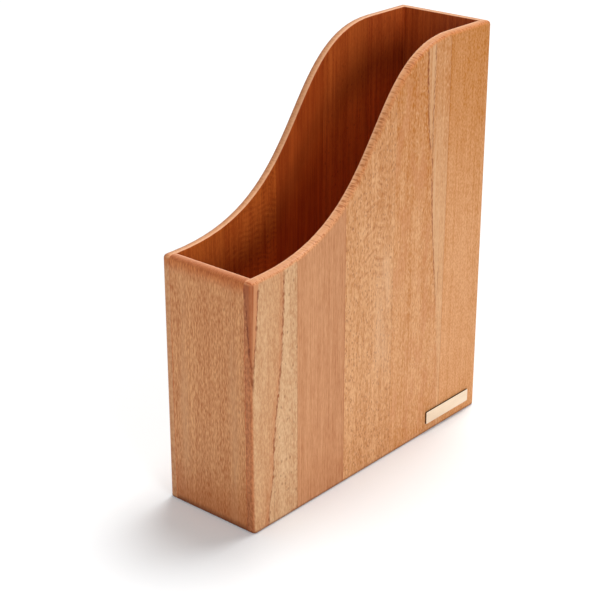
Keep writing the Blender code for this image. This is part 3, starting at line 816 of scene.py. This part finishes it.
def filmMaterial():
    sheet = Sheet(bpy.data.materials.new("adhesive_film"))
    mottle = sheet.noise(sheet.placed({"Scale": evenMm}), filmLook["mottleSize"], 3.0)
    colour = sheet.blend(mottle, filmLook["pale"], filmLook["deep"])
    rough = mottle * filmLook["roughMottle"] + filmLook["roughness"]
    return sheet.finish(colour, rough, mottle, filmLook["bumpStrength"], filmLook["bumpDepth"])


def dressHidden():
    rawDowel = dowelMaterial()
    for node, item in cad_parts.items():
        if "dowel" in node:
            item.data.materials.clear()
            item.data.materials.append(rawDowel)
    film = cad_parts["plate_adhesive"]
    film.data.materials.clear()
    film.data.materials.append(filmMaterial())


dressHidden()
print("hidden pieces finished")


stageLook = {
    "floorSize": 12.0,                 # m
    "floorColour": (0.92, 0.92, 0.92, 1.0),
    "floorLift": 0.12,                 # brightness that the backdrop adds where it is seen directly
    "liftColour": (0.82, 0.92, 1.0, 1.0),    # cool, against the glow of the wood
    "skyColour": (1.0, 1.0, 1.0, 1.0), "skyLevel": 0.35,
    "keyFrom": (-0.04, 0.35, 0.93), "keyStrength": 2.15, "keyAngle": 26.0,
    "fillFrom": (0.93, -0.25, 0.25), "fillStrength": 1.1, "fillAngle": 25.0,
}


def shownDirectly(sheet):              # rays that carry the plain background: camera, mirror, glass
    shown = sheet.add("LightPath", {}, {}, "Is Camera Ray")
    outputs = shown.socket.node.outputs
    for kind in ("Is Glossy Ray", "Is Transmission Ray"):
        shown = shown.math("MAXIMUM", Wire(sheet, outputs[kind]))
    return shown


def makeFloor():
    bm = bmesh.new()
    bmesh.ops.create_grid(bm, x_segments=1, y_segments=1, size=stageLook["floorSize"] / 2)
    mesh = bpy.data.meshes.new("floor")
    bm.to_mesh(mesh)
    bm.free()
    sheet = Sheet(bpy.data.materials.new("floor"))
    matte = sheet.add("BsdfDiffuse", {}, {"Color": stageLook["floorColour"]})
    lift = shownDirectly(sheet) * stageLook["floorLift"]
    glow = sheet.add("Emission", {}, {"Color": stageLook["liftColour"], "Strength": lift})
    both = sheet.add("AddShader", {}, {0: matte, 1: glow})
    sheet.add("OutputMaterial", {}, {"Surface": both})
    mesh.materials.append(sheet.owner)
    floor = bpy.data.objects.new("floor", mesh)
    bpy.context.scene.collection.objects.link(floor)


def makeWorld():
    world = bpy.data.worlds.new("studio")
    bpy.context.scene.world = world
    sheet = Sheet(world)
    level = sheet.atLeast(stageLook["skyLevel"], shownDirectly(sheet))
    sky = sheet.add("Background", {}, {"Color": stageLook["skyColour"], "Strength": level})
    sheet.add("OutputWorld", {}, {"Surface": sky})


def makeSun(name):
    data = bpy.data.lights.new(name, "SUN")
    data.energy = stageLook[name + "Strength"]
    data.angle = radians(stageLook[name + "Angle"])
    sun = bpy.data.objects.new(name, data)
    sun.rotation_euler = Vector(stageLook[name + "From"]).to_track_quat("Z", "Y").to_euler()
    bpy.context.scene.collection.objects.link(sun)


makeFloor()
makeWorld()
makeSun("key")
makeSun("fill")
print("stage lit")


cameraLook = {
    "place": (0.6748, -0.8195, 0.5816),    # m
    "azimuth": -40.711, "elevation": 23.445,    # degrees
    "focalPixels": 1592.6, "imagePixels": 600,
    "sensor": 36.0,                        # mm
}


def makeCamera():
    data = bpy.data.cameras.new("camera")
    data.sensor_width = cameraLook["sensor"]
    data.lens = cameraLook["sensor"] * cameraLook["focalPixels"] / cameraLook["imagePixels"]
    camera = bpy.data.objects.new("camera", data)
    camera.location = cameraLook["place"]
    camera.rotation_euler = (radians(90 - cameraLook["elevation"]), 0.0, -radians(cameraLook["azimuth"]))
    bpy.context.scene.collection.objects.link(camera)
    bpy.context.scene.camera = camera


makeCamera()
bpy.context.scene.view_settings.view_transform = "Standard"
print("camera placed")
